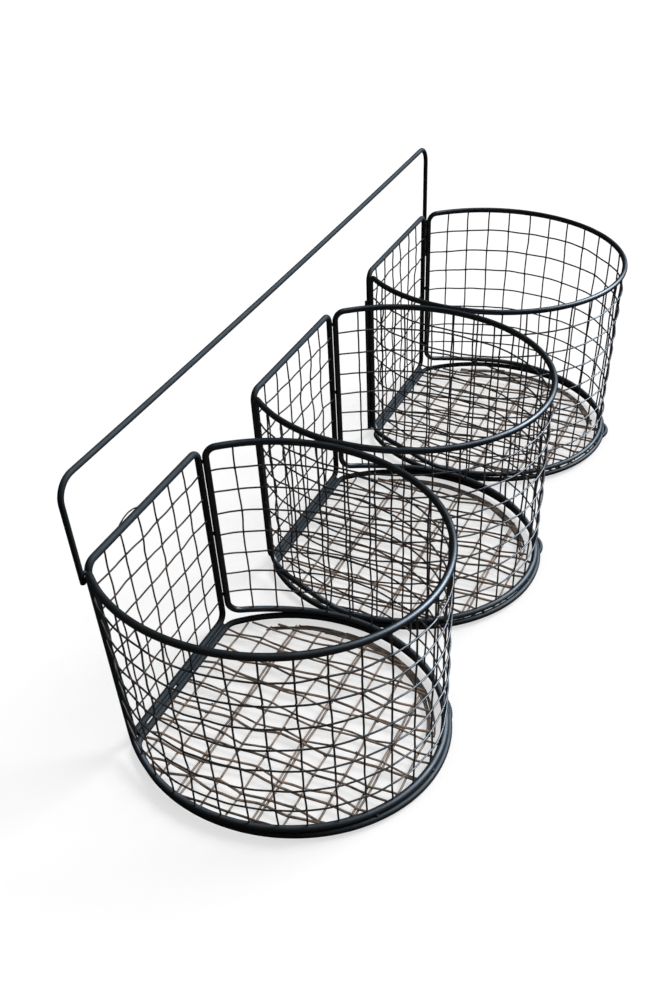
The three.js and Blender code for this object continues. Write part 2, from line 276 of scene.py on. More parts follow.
def wire_tree():
    """Round wires along a mesh's edges, with a weld at each marked point."""
    tree, given = new_tree("round wires", WIRE_INPUTS)
    girth, size = (
        add_node(tree, "GeometryNodeInputNamedAttribute", {"Name": label}, data_type="FLOAT")[0]
        for label in ("girth", "weld"))
    lines = add_node(tree, "GeometryNodeMeshToCurve", {"Mesh": given["Geometry"]})[0]
    marked = add_node(tree, "ShaderNodeMath", (size, 0.01), operation="GREATER_THAN")[0]
    points = add_node(
        tree, "GeometryNodeMeshToPoints", {"Mesh": given["Geometry"], "Selection": marked})[0]
    return finish_tree(tree, given, lines, points, size, girth=girth)


def sheet_tree():
    """A sheet of welded mesh over a foot line: rows, columns and a weld at each crossing."""
    tree, given = new_tree(
        "welded sheet", {"Rows": "NodeSocketInt", "Columns": "NodeSocketInt", **WIRE_INPUTS})
    rise, out = (
        add_node(tree, "GeometryNodeInputNamedAttribute", {"Name": label}, data_type=kind)[0]
        for label, kind in (("rise", "FLOAT"), ("out", "FLOAT_VECTOR")))
    proud_share, bends_per_cell, least_knot, most_knot = 0.35, 5.0, 0.75, 1.25
    proud, sunk = (
        add_node(tree, "ShaderNodeMath", (given["Thickness"], share), operation="MULTIPLY")[0]
        for share in (proud_share, -proud_share))
    outward, inward = (
        add_node(tree, "ShaderNodeVectorMath", {0: out, "Scale": reach}, operation="SCALE")[0]
        for reach in (proud, sunk))
    levels = add_node(tree, "ShaderNodeMath", (given["Rows"], 1.0), operation="SUBTRACT")[0]
    foot = add_node(tree, "GeometryNodeMeshToCurve", {"Mesh": given["Geometry"]})[0]

    def raised(lines):
        """One copy of the lines for each row, lifted to its height."""
        copies = add_node(
            tree, "GeometryNodeDuplicateElements", {"Geometry": lines, "Amount": levels},
            domain="SPLINE")
        number = add_node(tree, "ShaderNodeMath", (copies[1], 1.0), operation="ADD")[0]
        share = add_node(tree, "ShaderNodeMath", (number, given["Rows"]), operation="DIVIDE")[0]
        height = add_node(tree, "ShaderNodeMath", (share, rise), operation="MULTIPLY")[0]
        lift = add_node(tree, "ShaderNodeCombineXYZ", {"Z": height})[0]
        return add_node(
            tree, "GeometryNodeSetPosition", {"Geometry": copies[0], "Offset": lift})[0]

    rows = add_node(
        tree, "GeometryNodeSetPosition", {"Geometry": raised(foot), "Offset": outward})[0]
    stations = add_node(tree, "ShaderNodeMath", (given["Columns"], 1.0), operation="ADD")[0]
    spaced = add_node(tree, "GeometryNodeResampleCurve", {"Curve": foot, "Count": stations})[0]
    ends = add_node(tree, "GeometryNodeCurveEndpointSelection", {"Start Size": 1, "End Size": 1})[0]
    inside = add_node(tree, "ShaderNodeMath", (1.0, ends), operation="SUBTRACT")[0]
    feet = add_node(tree, "GeometryNodeSetPosition", {"Geometry": spaced, "Offset": inward})[0]
    upright = add_node(
        tree, "GeometryNodeCurvePrimitiveLine",
        {"Start": (0.0, 0.0, 0.0), "End": (0.0, 0.0, 1.0)})[0]
    bends = add_node(
        tree, "ShaderNodeMath", (given["Rows"], bends_per_cell, 1.0), operation="MULTIPLY_ADD")[0]
    column = add_node(tree, "GeometryNodeResampleCurve", {"Curve": upright, "Count": bends})[0]
    tall = add_node(tree, "ShaderNodeCombineXYZ", (1.0, 1.0, rise))[0]
    columns = add_node(
        tree, "GeometryNodeInstanceOnPoints",
        {"Points": feet, "Selection": inside, "Instance": column, "Scale": tall})[0]
    columns = add_node(tree, "GeometryNodeRealizeInstances", {"Geometry": columns})[0]
    lines = add_node(tree, "GeometryNodeJoinGeometry", ([rows, columns],))[0]
    size = add_node(
        tree, "FunctionNodeRandomValue", {2: least_knot, 3: most_knot, "Seed": given["Seed"]},
        data_type="FLOAT")[1]
    return finish_tree(tree, given, lines, raised(spaced), size, inside=inside)


class OvalLine:
    """The oval part of a D in plan, measured along its length from the left back corner."""

    def __init__(self, sizes, centre_y, back_angle):
        self.half_width, self.half_depth = sizes.half_width, sizes.half_depth
        self.centre_y, steps = centre_y, 1500
        span = math.pi + 2 * back_angle
        self.turns = [math.pi - back_angle + span * i / steps for i in range(steps + 1)]
        spots = [self.spot(turn) for turn in self.turns]
        self.lengths = [0.0]
        for before, after in zip(spots, spots[1:]):
            self.lengths.append(self.lengths[-1] + (after - before).length)
        self.length = self.lengths[-1]

    def spot(self, turn):
        """The point at an angle of the oval."""
        y = self.centre_y + self.half_depth * math.sin(turn)
        return Vector((self.half_width * math.cos(turn), y, 0))

    def at(self, along):
        """The point at a length, and the direction out of the basket there."""
        i = min(max(bisect.bisect(self.lengths, along) - 1, 0), len(self.turns) - 2)
        share = (along - self.lengths[i]) / (self.lengths[i + 1] - self.lengths[i])
        turn = self.turns[i] + share * (self.turns[i + 1] - self.turns[i])
        out = Vector((self.half_depth * math.cos(turn), self.half_width * math.sin(turn), 0))
        return self.spot(turn), out.normalized()


class BasketPlan:
    """Lines and heights that the pieces of every basket share, in the basket's own frame."""

    def __init__(self, sizes):
        ring_low, ring_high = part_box("middle_base_ring")
        back_low, back_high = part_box("middle_back_panel_frame")
        self.ring_z = (ring_low.z + ring_high.z) / 2
        self.back_y = (back_low.y + back_high.y) / 2
        cad_half_wire = (back_high.x - back_low.x) / 2 - sizes.back_half_width
        self.rim_z = back_high.z - cad_half_wire
        self.back_foot_z = back_low.z + cad_half_wire
        self.front_foot_z = self.ring_z + sizes.foot_rise
        turn = math.acos(sizes.back_half_width / sizes.half_width)
        self.wall_centre_y = -sizes.half_depth * math.sin(turn)
        self.wall = OvalLine(sizes, self.wall_centre_y, turn)
        self.ring_centre_y = self.wall_centre_y - sizes.ring_forward
        ring_turn = math.asin((-sizes.ring_inset - self.ring_centre_y) / sizes.half_depth)
        self.ring = OvalLine(sizes, self.ring_centre_y, ring_turn)
        self.front_start = sizes.post_spacing
        self.front_end = self.wall.length - sizes.post_spacing
        self.sizes = sizes

    def place(self, name):
        """The shift from a basket's own frame to the row's frame."""
        low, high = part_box(name + "_base_ring")
        return Vector(((low.x + high.x) / 2, self.back_y, 0))

    def side_welds(self, kind, name, centre_y, height, steps):
        """Welds from a basket to the next one in the row, if there is one, in steps along it."""
        welds, here = [], self.place(name)
        for other in BASKETS[BASKETS.index(name) + 1:][:1]:
            x = ((here + self.place(other)) / 2).x
            welds += [weld(kind, Vector((x, here.y + centre_y + step, height))) for step in steps]
        return welds

    def heel(self, along, name):
        """How far a front foot wire stands off its ring; two have sprung up by their left posts."""
        sizes = self.sizes
        from_left, from_right = along - self.front_start, self.front_end - along
        rise = sizes.heel_lift * max(0.0, 1 - min(from_left, from_right) / sizes.heel_length) ** 2
        spring = 0.0 if name == "left" else sizes.foot_spring
        return rise + spring * math.sin(math.pi * min(1.0, from_left / sizes.spring_length)) ** 2

    def on_front(self, along, height, out=0.0):
        """A point of the front panel."""
        spot, outward = self.wall.at(along)
        return spot + outward * out + Vector((0, 0, height))

    def corner_groove(self, side):
        """The place outside a back corner where a wire lies against both posts."""
        spot, _ = self.wall.at(self.front_start if side < 0 else self.front_end)
        return (spot + Vector((side * self.sizes.back_half_width, 0, 0))) / 2

    def base_rows(self):
        """Places of the base's wires along the row, from the middle of the ring."""
        sizes = self.sizes
        first = -sizes.ring_inset - sizes.base_first - self.ring_centre_y
        return [first - i * sizes.base_row_pitch for i in range(sizes.base_rows)]

    def on_base(self, u, v, height):
        """A point of the base sheet, which lies a little askew in the ring."""
        turned = Matrix.Rotation(self.sizes.base_skew, 3, "Z") @ Vector((u, v, 0))
        return turned + Vector((0, self.ring_centre_y, height))

    def in_base(self, run):
        """The part of a run inside the ring, or inside the hem where there is one."""
        sizes, kept = self.sizes, []
        for spot in run:
            edge = sizes.hem if spot.x > HEM_AND_SHADOW_FROM and spot.y < -HEM_AND_SHADOW_FROM else BARE_EDGE
            x = spot.x / (sizes.half_width - edge)
            y = (spot.y - self.ring_centre_y) / (sizes.half_depth - edge)
            if x * x + y * y < 1 and spot.y < -sizes.ring_inset:
                kept.append(spot)
        return kept


def plan():
    """The shared lines, from the sizes in the panel."""
    return BasketPlan(bpy.context.scene.basket_sizes)


def weld(kind, spot):
    """A weld of some kind at a place."""
    return Line([spot], weld=WELD_WIDTHS[kind])


def spread(start, end, step):
    """Even values from start to end, about a step apart, with both ends."""
    count = max(1, round(abs(end - start) / step))
    return [start + (end - start) * i / count for i in range(count + 1)]


def straight(start, end):
    """The places between two ends of a straight run, without the ends."""
    count = max(1, round(math.dist(start, end) / STEP))
    return [tuple(a + (b - a) * i / count for a, b in zip(start, end)) for i in range(1, count)]


def rounded_frame(left, right, foot, top, foot_radius, top_radius):
    """The closed outline of a panel frame, as places along and up."""
    corners = (
        (right - foot_radius, foot + foot_radius, foot_radius, -90),
        (right - top_radius, top - top_radius, top_radius, 0),
        (left + top_radius, top - top_radius, top_radius, 90),
        (left + foot_radius, foot + foot_radius, foot_radius, 180),
    )
    outline, parts = [], 8
    for u, v, radius, start in corners:
        turns = [math.radians(start + 90 * k / parts) for k in range(parts + 1)]
        bend = [(u + radius * math.cos(t), v + radius * math.sin(t)) for t in turns]
        outline += straight(outline[-1], bend[0]) if outline else []
        outline += bend
    return outline + straight(outline[-1], outline[0])


def line_mesh(lines, extra=None):
    """A mesh of edges along lines, with their marks, and extra marks by kind and values."""
    points, edges = [], []
    marks = {label: ("FLOAT", []) for label in MARKS}
    for line in lines:
        first, count = len(points), len(line.run)
        points += line.run
        edges += [(first + i, first + i + 1) for i in range(count - 1)]
        edges += [(len(points) - 1, first)] if line.closed else []
        for label in MARKS:
            marks[label][1].extend([getattr(line, label)] * count)
    marks.update(extra or {})
    mesh = bpy.data.meshes.new("lines")
    mesh.from_pydata(points, edges, [])
    for label, (kind, values) in marks.items():
        field = "vector" if kind == "FLOAT_VECTOR" else "value"
        mesh.attributes.new(label, kind, "POINT").data.foreach_set(field, values)
    return mesh


def add_object(name, data):
    """A new object in the scene."""
    thing = bpy.data.objects.new(name, data)
    bpy.context.scene.collection.objects.link(thing)
    return thing


def tree_named(name, build):
    """A tree by name, built on first use."""
    return bpy.data.node_groups.get(name) or build()


def make_piece(name, node, mesh, tree, settings, keep=()):
    """Runs a tree on a mesh of lines, keeps the plain mesh it makes, and hides the CAD node it stands
    for.
    """
    piece = add_object(name, mesh)
    modifier = piece.modifiers.new("build", "NODES")
    modifier.node_group = tree
    for item in tree.interface.items_tree:
        if item.item_type == "SOCKET" and item.in_out == "INPUT" and item.name in settings:
            modifier[item.identifier] = settings[item.name]
    graph = bpy.context.evaluated_depsgraph_get()
    made = bpy.data.meshes.new_from_object(piece.evaluated_get(graph))
    if not made.polygons:
        raise RuntimeError(f"{name} came out with no faces")
    piece.modifiers.remove(modifier)
    for label in (*MARKS, "rise", "out"):
        if label in made.attributes and label not in keep:
            made.attributes.remove(made.attributes[label])
    made.name = name
    piece.data = made
    bpy.data.meshes.remove(mesh)
    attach(piece, "root")
    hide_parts(node)


def frame_piece(name, node, lines, thickness, dull=False):
    """A piece of stiff thick wire in powder coat, with its welds."""
    settings = {
        "Thickness": thickness, "Sides": 14, "Wander": (0.0, 0.0, 0.0), "Wander Length": 0.05,
        "Knot": bpy.context.scene.wire_sizes.weld, "Knot Detail": 2, "Seed": 1,
        "Material": black_powder_coat(dull),
    }
    tree = tree_named("round wires", wire_tree)
    make_piece(name, node, line_mesh(lines), tree, settings)


def mesh_settings(thickness, wander, wander_length, seed, material):
    """A tree's inputs for thin loose mesh wire."""
    return {
        "Thickness": thickness, "Sides": 7, "Wander": wander, "Wander Length": wander_length,
        "Knot": bpy.context.scene.wire_sizes.knot, "Knot Detail": 1, "Seed": seed,
        "Material": material,
    }


def dull_in_dust(tree, coords, gloss, more, dull):
    """Roughness that rises where dust settles: near the floor and, where dull, near the wall."""
    place = add_node(tree, "ShaderNodeSeparateXYZ", (coords,))
    wall = add_node(tree, "ShaderNodeMapRange", (place["Y"], *WALL_DUST, 0.0, float(dull)))[0]
    floor = add_node(
        tree, "ShaderNodeMapRange", (place["Z"], *FLOOR_DUST, FLOOR_DUST_SHARE, 0.0))[0]
    dust = add_node(tree, "ShaderNodeMath", (wall, floor), operation="MAXIMUM")[0]
    return add_node(tree, "ShaderNodeMath", (dust, more, gloss), operation="MULTIPLY_ADD")[0]


def finish(name, paint, tones, patch_mm, detail, grit_mm, strength, values):
    """A finish by name, made on first use; paint gives the second tone's share and the roughness
    from the finish's patches."""
    if name in bpy.data.materials:
        return bpy.data.materials[name]
    material = bpy.data.materials.new(name)
    material.use_nodes = True
    tree = material.node_tree
    coords = add_node(tree, "ShaderNodeTexCoord")["Object"]  # metres, in the CAD frame
    patch, grit = (
        add_node(
            tree, "ShaderNodeTexNoise",
            {"Vector": coords, "Scale": 1 / (size_mm * MM), "Detail": fineness})["Fac"]
        for size_mm, fineness in ((patch_mm, detail), (grit_mm, 2.0)))
    share, rough = paint(tree, coords, patch)
    plain, worn = ((*getattr(bpy.context.scene.finish_colours, label), 1.0) for label in tones)
    tone = add_node(
        tree, "ShaderNodeMix", {"Factor": share, 6: plain, 7: worn}, data_type="RGBA")[2]
    bump = add_node(
        tree, "ShaderNodeBump", {"Height": grit, "Strength": strength, "Distance": BUMP_DEPTH})[0]
    shader = tree.nodes["Principled BSDF"].inputs
    for label, socket in (("Base Color", tone), ("Roughness", rough), ("Normal", bump)):
        tree.links.new(socket, shader[label])
    for label, value in values.items():
        shader[label].default_value = value
    return material


def black_powder_coat(dull=False):
    """Black powder coat, satin, on drawn steel wire, with less shine where dull."""
    # A thin plastic skin: near-black, with broad soft highlights, faint orange peel, and a greyer
    # bloom of dust where the wire faces up.
    def paint(tree, coords, cloud):
        normal = add_node(tree, "ShaderNodeNewGeometry")["Normal"]
        up = add_node(tree, "ShaderNodeSeparateXYZ", (normal,))["Z"]
        dust = add_node(tree, "ShaderNodeMapRange", (up, 0.2, 1.0, 0.0, 0.6))[0]
        rubbed = add_node(tree, "ShaderNodeMath", (dust, cloud), operation="MULTIPLY")[0]
        gloss = add_node(tree, "ShaderNodeMapRange", (cloud, 0.3, 0.7, 0.36, 0.44))[0]
        return rubbed, dull_in_dust(tree, coords, gloss, 0.34, dull)

    cloud_mm, peel_mm = 14, 2.2  # peel is drawn coarser than the real 0.5 mm so that it shows
    return finish(
        "dull black powder coat" if dull else "black satin powder coat", paint,
        ("coat", "coat_worn"), cloud_mm, 4.0, peel_mm, 0.25,
        {"IOR": 1.7, "Specular IOR Level": 0.55 if dull else 1.0,
         "Specular Tint": (0.92, 0.96, 1.0, 1.0)})


def coated_mesh_wire(dull=False):
    """Thin dip coat on welded mesh wire, without its gloss where dull."""
    # Almost black, a little brown where the coat is thin, with small sharp glints along the wire.
    def paint(tree, coords, patch):
        worn_from, rough = (0.42, 0.55) if dull else (0.5, 0.30)
        thin = add_node(tree, "ShaderNodeMapRange", (patch, worn_from, worn_from + 0.22))[0]
        gloss = add_node(tree, "ShaderNodeMapRange", (patch, 0.3, 0.7, rough, rough + 0.12))[0]
        return thin, dull_in_dust(tree, coords, gloss, 0.30, dull)

    patch_mm, grit_mm = 9, 1.2
    return finish(
        "dull dip-coated mesh wire" if dull else "dip-coated mesh wire", paint,
        ("mesh", "mesh_worn"), patch_mm, 3.0, grit_mm, 0.3,
        {"IOR": 1.8, "Specular IOR Level": 0.45 if dull else 1.0,
         "Specular Tint": (0.97, 0.98, 1.0, 1.0)})


def scaled_base_wire():
    """Bare steel mesh wire with brown mill scale."""
    # Warm grey-brown, patchy, with dull metal showing between darker flakes of scale.
    def paint(tree, coords, flake):
        patchy = add_node(tree, "ShaderNodeMapRange", (flake, 0.35, 0.65, -0.25, 0.25))[0]
        wire_tone = add_node(tree, "ShaderNodeAttribute", attribute_name="tone")["Fac"]
        dark = add_node(
            tree, "ShaderNodeMath", (patchy, wire_tone), operation="ADD", use_clamp=True)[0]
        return dark, add_node(tree, "ShaderNodeMapRange", (dark, 0.0, 1.0, 0.35, 0.6))[0]

    flake_mm, grit_mm = 7, 1.5
    return finish(
        "mill-scaled steel mesh wire", paint, ("base", "base_dark"), flake_mm, 4.0, grit_mm, 0.4,
        {"Specular IOR Level": 0.6})


def by_ray(tree, plain, seen, reflected):
    """A shader that differs for light that bounces, for the camera and for reflections."""
    rays = add_node(tree, "ShaderNodeLightPath")
    shown = add_node(tree, "ShaderNodeMixShader", (rays["Is Camera Ray"], plain, seen))[0]
    return add_node(tree, "ShaderNodeMixShader", (rays["Is Glossy Ray"], shown, reflected))[0]


class BASKETRACK_OT_back_frames(bpy.types.Operator):
    """Makes the flat back panels' wire frames"""

    bl_idname = "basketrack.back_frames"
    bl_label = "Back Panel Frames"

    def execute(self, context):
        layout, thickness = plan(), context.scene.wire_sizes.frame_wire
        sizes = layout.sizes
        outline = rounded_frame(
            -sizes.back_half_width, sizes.back_half_width, layout.back_foot_z, layout.rim_z,
            sizes.back_foot_corner, sizes.top_corner)
        weld_heights = (0.03, 0.085, layout.rim_z - 0.009)
        for name in BASKETS:
            shift = layout.place(name)
            lines = [Line([shift + Vector((along, 0, height)) for along, height in outline], True)]
            if name == "left":
                lines.append(self.loose_end(shift, layout.rim_z))
            lines += [
                weld("post", shift + layout.corner_groove(side) + Vector((0, 0, height)))
                for side in (-1, 1) for height in weld_heights]
            frame_piece(
                name + "_back_frame", name + "_back_panel_frame", lines,
                thickness * FINER[name], dull=True)
        return {"FINISHED"}

    @staticmethod
    def loose_end(shift, rim_z):
        """A thin mesh wire's loose end, bent in a low loop over the top wire."""
        start, end, step, back = -28 * MM, -5 * MM, 1.5 * MM, 0.5 * MM
        foot, rise, fullness = rim_z + 1.2 * MM, 3.6 * MM, 0.8
        run = []
        for x in spread(start, end, step):
            arch = math.sin(math.pi * ((x - start) / (end - start))) ** fullness
            run.append(shift + Vector((x, back, foot + rise * arch)))
        return Line(run, girth=0.2)


class BASKETRACK_OT_front_frames(bpy.types.Operator):
    """Makes the bent front panels' wire frames, whose tops are the rims"""

    bl_idname = "basketrack.front_frames"
    bl_label = "Front Panel Frames"

    def execute(self, context):
        layout, thickness = plan(), context.scene.wire_sizes.frame_wire
        sizes, rim_z = layout.sizes, layout.rim_z
        outline = rounded_frame(
            layout.front_start, layout.front_end, layout.front_foot_z, rim_z,
            sizes.front_foot_corner, sizes.top_corner)
        tall = rim_z - layout.front_foot_z
        weld_z, weld_steps = rim_z - 0.8 * MM, [step * MM for step in range(-5, 6)]
        for name in BASKETS:
            shift, run = layout.place(name), []
            for along, height in outline:
                lift = layout.heel(along, name) * (rim_z - height) / tall
                run.append(shift + layout.on_front(along, height + lift))
            welds = layout.side_welds("rim", name, layout.wall_centre_y, weld_z, weld_steps)
            frame_piece(
                name + "_front_frame", name + "_front_panel_frame", [Line(run, True), *welds],
                thickness * FINER[name])
        return {"FINISHED"}


class BASKETRACK_OT_base_rings(bpy.types.Operator):
    """Makes the D-shaped rings that the baskets stand on"""

    bl_idname = "basketrack.base_rings"
    bl_label = "Base Rings"

    def execute(self, context):
        layout, thickness = plan(), context.scene.wire_sizes.frame_wire
        sizes, lift = layout.sizes, Vector((0, 0, layout.ring_z))
        first, last = layout.front_start + sizes.spring_length, layout.front_end - sizes.heel_length
        spacing, out, weld_z = 0.046, 1.6 * MM, (layout.front_foot_z + layout.ring_z) / 2
        feet = [layout.on_front(along, weld_z, out) for along in spread(first, last, spacing)]
        side_steps = [step * 2.2 * MM for step in range(-2, 3)]
        for name in BASKETS:
            shift = layout.place(name)
            lines = [Line([shift + spot + lift for spot in self.ring_line(layout)], True)]
            lines += [self.seam(layout, shift, *part) for part in SEAMS[name]]
            lines += [weld("foot", shift + spot) for spot in feet]
            lines += self.lump(layout.ring, shift + lift, *CLOSED_AT[name])
            lines += layout.side_welds(
                "ring", name, layout.ring_centre_y, layout.ring_z, side_steps)
            frame_piece(
                name + "_ring", name + "_base_ring", lines, thickness * FINER[name], dull=True)
        return {"FINISHED"}

    @staticmethod
    def lump(oval, shift, share, bulge):
        """The lump where a ring was welded shut: welds in a row, furthest out in the middle."""
        reach_mm, step_mm, taper_mm, welds = 8, 2, 10, []
        for step in range(-reach_mm, reach_mm + 1, step_mm):
            spot, out = oval.at(oval.length * share + step * MM)
            welds.append(weld("lump", shift + spot + out * bulge * (1 - (step / taper_mm) ** 2)))
        return welds

    @staticmethod
    def seam(layout, shift, start, end):
        """Part of the weld between the ring's back and the back panel's foot wire."""
        sizes = layout.sizes
        half = sizes.back_half_width - sizes.back_foot_corner / 2
        mid = shift + Vector((0, -sizes.ring_inset / 2, (layout.back_foot_z + layout.ring_z) / 2))
        shares = spread(start, end, SEAM_STEP)
        run = [mid + Vector((half * (2 * share - 1), 0, 0)) for share in shares]
        return Line(run, girth=SEAM_GIRTH)

    @staticmethod
    def ring_line(layout):
        """The ring's closed line: the oval, and its straight back between two bends."""
        trim, oval, parts = layout.sizes.ring_trim, layout.ring, 6
        run = [oval.at(along)[0] for along in spread(trim, oval.length - trim, STEP)]
        right = oval.at(oval.length)[0]
        left = Vector((-right.x, right.y, 0))
        inner_x = right.x - trim
        back = [Vector((x, right.y, 0)) for x in spread(inner_x, -inner_x, STEP)]

        def bend(start, mid, end):
            """A bend drawn towards a corner, without its ends."""
            shares = [k / parts for k in range(1, parts)]
            return [start * (1 - t) ** 2 + mid * 2 * t * (1 - t) + end * t * t for t in shares]

        return run + bend(run[-1], right, back[0]) + back + bend(back[-1], left, run[0])


class BASKETRACK_OT_wall_meshes(bpy.types.Operator):
    """Makes the sheets of welded mesh in the back and front panels"""

    bl_idname = "basketrack.wall_meshes"
    bl_label = "Wall Meshes"

    def execute(self, context):
        layout, wires = plan(), context.scene.wire_sizes
        sizes = layout.sizes
        for number, name in enumerate(BASKETS):
            shift, (back, front) = layout.place(name), self.foot_lines(layout, name)
            panels = (
                ("back", back, sizes.back_columns, BACK_MESH_GIRTH),
                ("front", front, sizes.front_columns, 1.0))
            for side, foot, columns, girth in panels:
                spots, outs, slacks = zip(*foot)
                extra = {
                    "rise": ("FLOAT", [layout.rim_z - spot.z for spot in spots]),
                    "out": ("FLOAT_VECTOR", [value for out in outs for value in out]),
                    "stray": ("FLOAT", slacks),
                }
                settings = mesh_settings(
                    wires.wall_wire * girth, (wires.wander,) * 3, WANDER_LENGTHS[side],
                    WALL_SEED + number, coated_mesh_wire(dull=side == "back"))
                settings.update(Rows=sizes.rows, Columns=columns)
                mesh = line_mesh([Line([shift + spot for spot in spots])], extra)
                make_piece(
                    f"{name}_{side}_mesh", f"{name}_{side}_panel_mesh", mesh,
                    tree_named("welded sheet", sheet_tree), settings)
        return {"FINISHED"}

    @staticmethod
    def foot_lines(layout, name):
        """The feet of a basket's back and front mesh: places, the rows' side there, and slack."""
        half, start, front = layout.sizes.back_half_width, layout.front_start, []
        back = [
            (Vector((x, 0, layout.back_foot_z)), Vector((0, -1, 0)), 1 + BACK_SLACK * LOOSE[name])
            for x in spread(-half, half, MESH_STEP)]
        for along in spread(start, layout.front_end, MESH_STEP):
            spot = layout.on_front(along, layout.front_foot_z + layout.heel(along, name))
            slack = 1 + LOOSE[name] * max(0.0, 1 - (along - start) / SLACK_LENGTH)
            front.append((spot, layout.wall.at(along)[1], slack))
        return back, front


class BASKETRACK_OT_base_meshes(bpy.types.Operator):
    """Makes the loose welded wires of the baskets' bases"""

    bl_idname = "basketrack.base_meshes"
    bl_label = "Base Meshes"

    def execute(self, context):
        layout, wires = plan(), context.scene.wire_sizes
        wander = (wires.base_wander, wires.base_wander, 0.4 * MM)
        for number, name in enumerate(BASKETS):
            shift, chance = layout.place(name), random.Random(DRAW_SEED + number)
            columns, welded = self.columns(layout, chance)
            loose = self.rows(layout, chance) + columns + self.hem(layout, chance)
            lines = [
                line._replace(run=[shift + spot for spot in line.run])
                for line in loose if len(line.run) > 2]
            lines += [weld("base", shift + spot) for spot in welded]
            settings = mesh_settings(
                wires.base_wire, wander, WANDER_LENGTHS["base"], BASE_SEED + number,
                scaled_base_wire())
            make_piece(
                name + "_base_weave", name + "_base_mesh", line_mesh(lines),
                tree_named("round wires", wire_tree), settings, keep=("tone",))
        return {"FINISHED"}

    @staticmethod
    def rows(layout, chance):
        """Grey-brown wires along the row, a little wavy, every third one doubled."""
        far, lines = 0.12, []
        across = spread(-far, far, MESH_STEP)
        for number, v in enumerate(layout.base_rows()):
            for aside in (-DOUBLED, DOUBLED) if number % 3 == 2 else (0.0,):
                run = [layout.on_base(u, v + aside, ROW_Z) for u in across]
                lines.append(Line(
                    layout.in_base(run), girth=chance.uniform(0.9, 1.1),
                    strand=chance.uniform(0, STRANDS), stray=0.6, tone=chance.uniform(0.35, 0.6)))
        return lines

    @staticmethod
    def columns(layout, chance):
        """Dark wires out from the wall, in pairs that part from weld to weld, and those welds. The
        pairing stands in partly for each wire's shadow on the floor: painted shadow.
        """
        lines, welds, sizes, places = [], [], layout.sizes, layout.base_rows()
        before, middle = places[0] + sizes.base_row_pitch, (sizes.base_wires - 1) / 2
        for number in range(sizes.base_wires):
            u = (number - middle) * sizes.base_pitch
            for side in (-1, 1):
                spots, run = [], []
                for v in [before] + places:
                    apart = chance.choice(PARTED) * MM
                    spots.append(layout.on_base(u + side * apart, v, COLUMN_Z))
                for here, there in zip(spots, spots[1:]):
                    run += [here] + [Vector(spot) for spot in straight(here, there)]
                lines.append(Line(
                    layout.in_base(run), girth=chance.uniform(0.95, 1.25),
                    strand=chance.uniform(0, STRANDS), stray=0.7, tone=chance.uniform(0.45, 0.85)))
                welds += layout.in_base(spots)
        return lines, welds

    @staticmethod
    def hem(layout, chance):
        """Frayed dark turns of wire that bind the sheet's free edge, and stand in partly for the
        ring's soft shadow on the floor there: painted shadow.
        """
        lines, length = [], layout.ring.length
        for _ in range(HEM_AND_SHADOW_TURNS):
            run, aside = [], chance.uniform(0.5, 5.5) * MM
            start, end = chance.uniform(0.54, 0.64), chance.uniform(0.78, 0.95)
            for along in spread(length * start, length * end, MESH_STEP):
                spot, out = layout.ring.at(along)
                run.append(spot - out * (layout.sizes.hem + aside) + Vector((0, 0, HEM_AND_SHADOW_Z)))
            # The hem's dark tone is painted shadow in part: the ring's shadow band inside the basket.
            lines.append(Line(
                run, girth=0.8, strand=chance.uniform(0, STRANDS), stray=0.6,
                tone=chance.uniform(0.85, 1.2)))
        return lines


class BASKETRACK_OT_hanger(bpy.types.Operator):
    """Makes the hanger bail, its welds, and the spare wire on the last basket's post"""

    bl_idname = "basketrack.hanger"
    bl_label = "Hanger Bail"

    def execute(self, context):
        layout, thickness = plan(), context.scene.wire_sizes.bail_wire
        low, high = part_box("hanger_bail")
        y, half_depth = (low.y + high.y) / 2, (high.y - low.y) / 2
        half_wire = half_depth * math.cos(math.pi / 6)  # the CAD wire is six-sided
        half_span, top = high.x - half_wire, high.z - half_wire
        run = self.bail_line(layout, half_span, top, low.z)
        lines = [Line([Vector((x, y, z)) for x, z in run])]
        groove = layout.corner_groove(1)
        weld_drops = (("left", -1, (0.003, 0.008)), ("right", 1, (0.006, 0.02, 0.033)))
        for name, side, drops in weld_drops:
            post = layout.place(name) + Vector((side * groove.x, groove.y, 0))
            spot = (post + Vector((side * half_span, y, 0))) / 2
            lines += [
                weld("bail", Vector((spot.x, spot.y, layout.rim_z - drop))) for drop in drops]
        frame_piece("bail", "hanger_bail", lines, thickness, dull=True)
        low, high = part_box("right_post_stub")
        post, nearer = layout.place("right") + layout.wall.at(layout.front_start)[0], 0.25
        spot = ((low + high) / 2).lerp(post, nearer)
        stub = Line([Vector((spot.x, spot.y, z)) for z in spread(low.z, high.z, STEP)])
        frame_piece("post_wire", "right_post_stub", [stub], thickness)
        return {"FINISHED"}

    @staticmethod
    def bail_line(layout, half_span, top, right_foot):
        """The bail from its left foot to its right foot, as places along and up."""
        bend, sag, long_step = layout.sizes.bail_bend, layout.sizes.bail_sag, 8 * MM
        left_foot, reach = layout.rim_z - layout.sizes.bail_left_foot, half_span - bend
        turns = [math.radians(10 * k) for k in range(10)]
        run = [(-half_span, z) for z in spread(left_foot, top - bend, STEP)]
        run += [
            (-half_span + bend * (1 - math.cos(t)), top - bend * (1 - math.sin(t)))
            for t in turns[1:]]
        for x in spread(-reach, reach, long_step)[1:-1]:
            run.append((x, top - sag * (1 - (x / reach) ** 2)))
        run += [
            (half_span - bend * (1 - math.sin(t)), top - bend * (1 - math.cos(t))) for t in turns]
        return run + [(half_span, z) for z in spread(top - bend, right_foot, STEP)[1:]]


